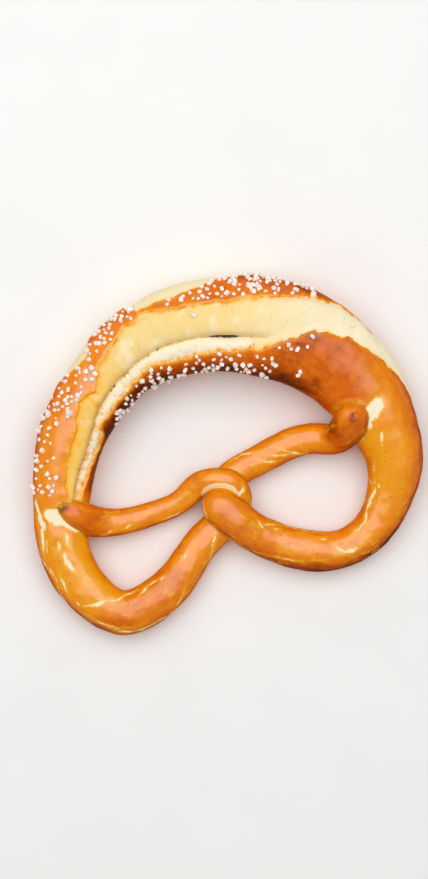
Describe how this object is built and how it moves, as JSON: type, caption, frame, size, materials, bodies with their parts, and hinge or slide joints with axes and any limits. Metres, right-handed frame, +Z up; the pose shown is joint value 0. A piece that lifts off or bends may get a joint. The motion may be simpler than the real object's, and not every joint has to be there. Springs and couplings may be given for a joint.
{
  "type": "pretzel",
  "caption": "Soft lye pretzel: a rope of dough with a fat split belly under coarse salt, side loops, a twist and thin crossed arms.",
  "frame": {"origin": "middle of the pretzel's footprint, on the flat baked underside", "axes": "+X across the pretzel, from loop to loop; +Y from the twist to the fat belly; +Z up, out of the split and salted face"},
  "size_m": [0.1808, 0.1468, 0.0363],
  "materials": {
    "crust": "glossy orange-brown lye-baked crust"
  },
  "bodies": {
    "root": {"pretzel": "crust"}
  },
  "joints": []
}
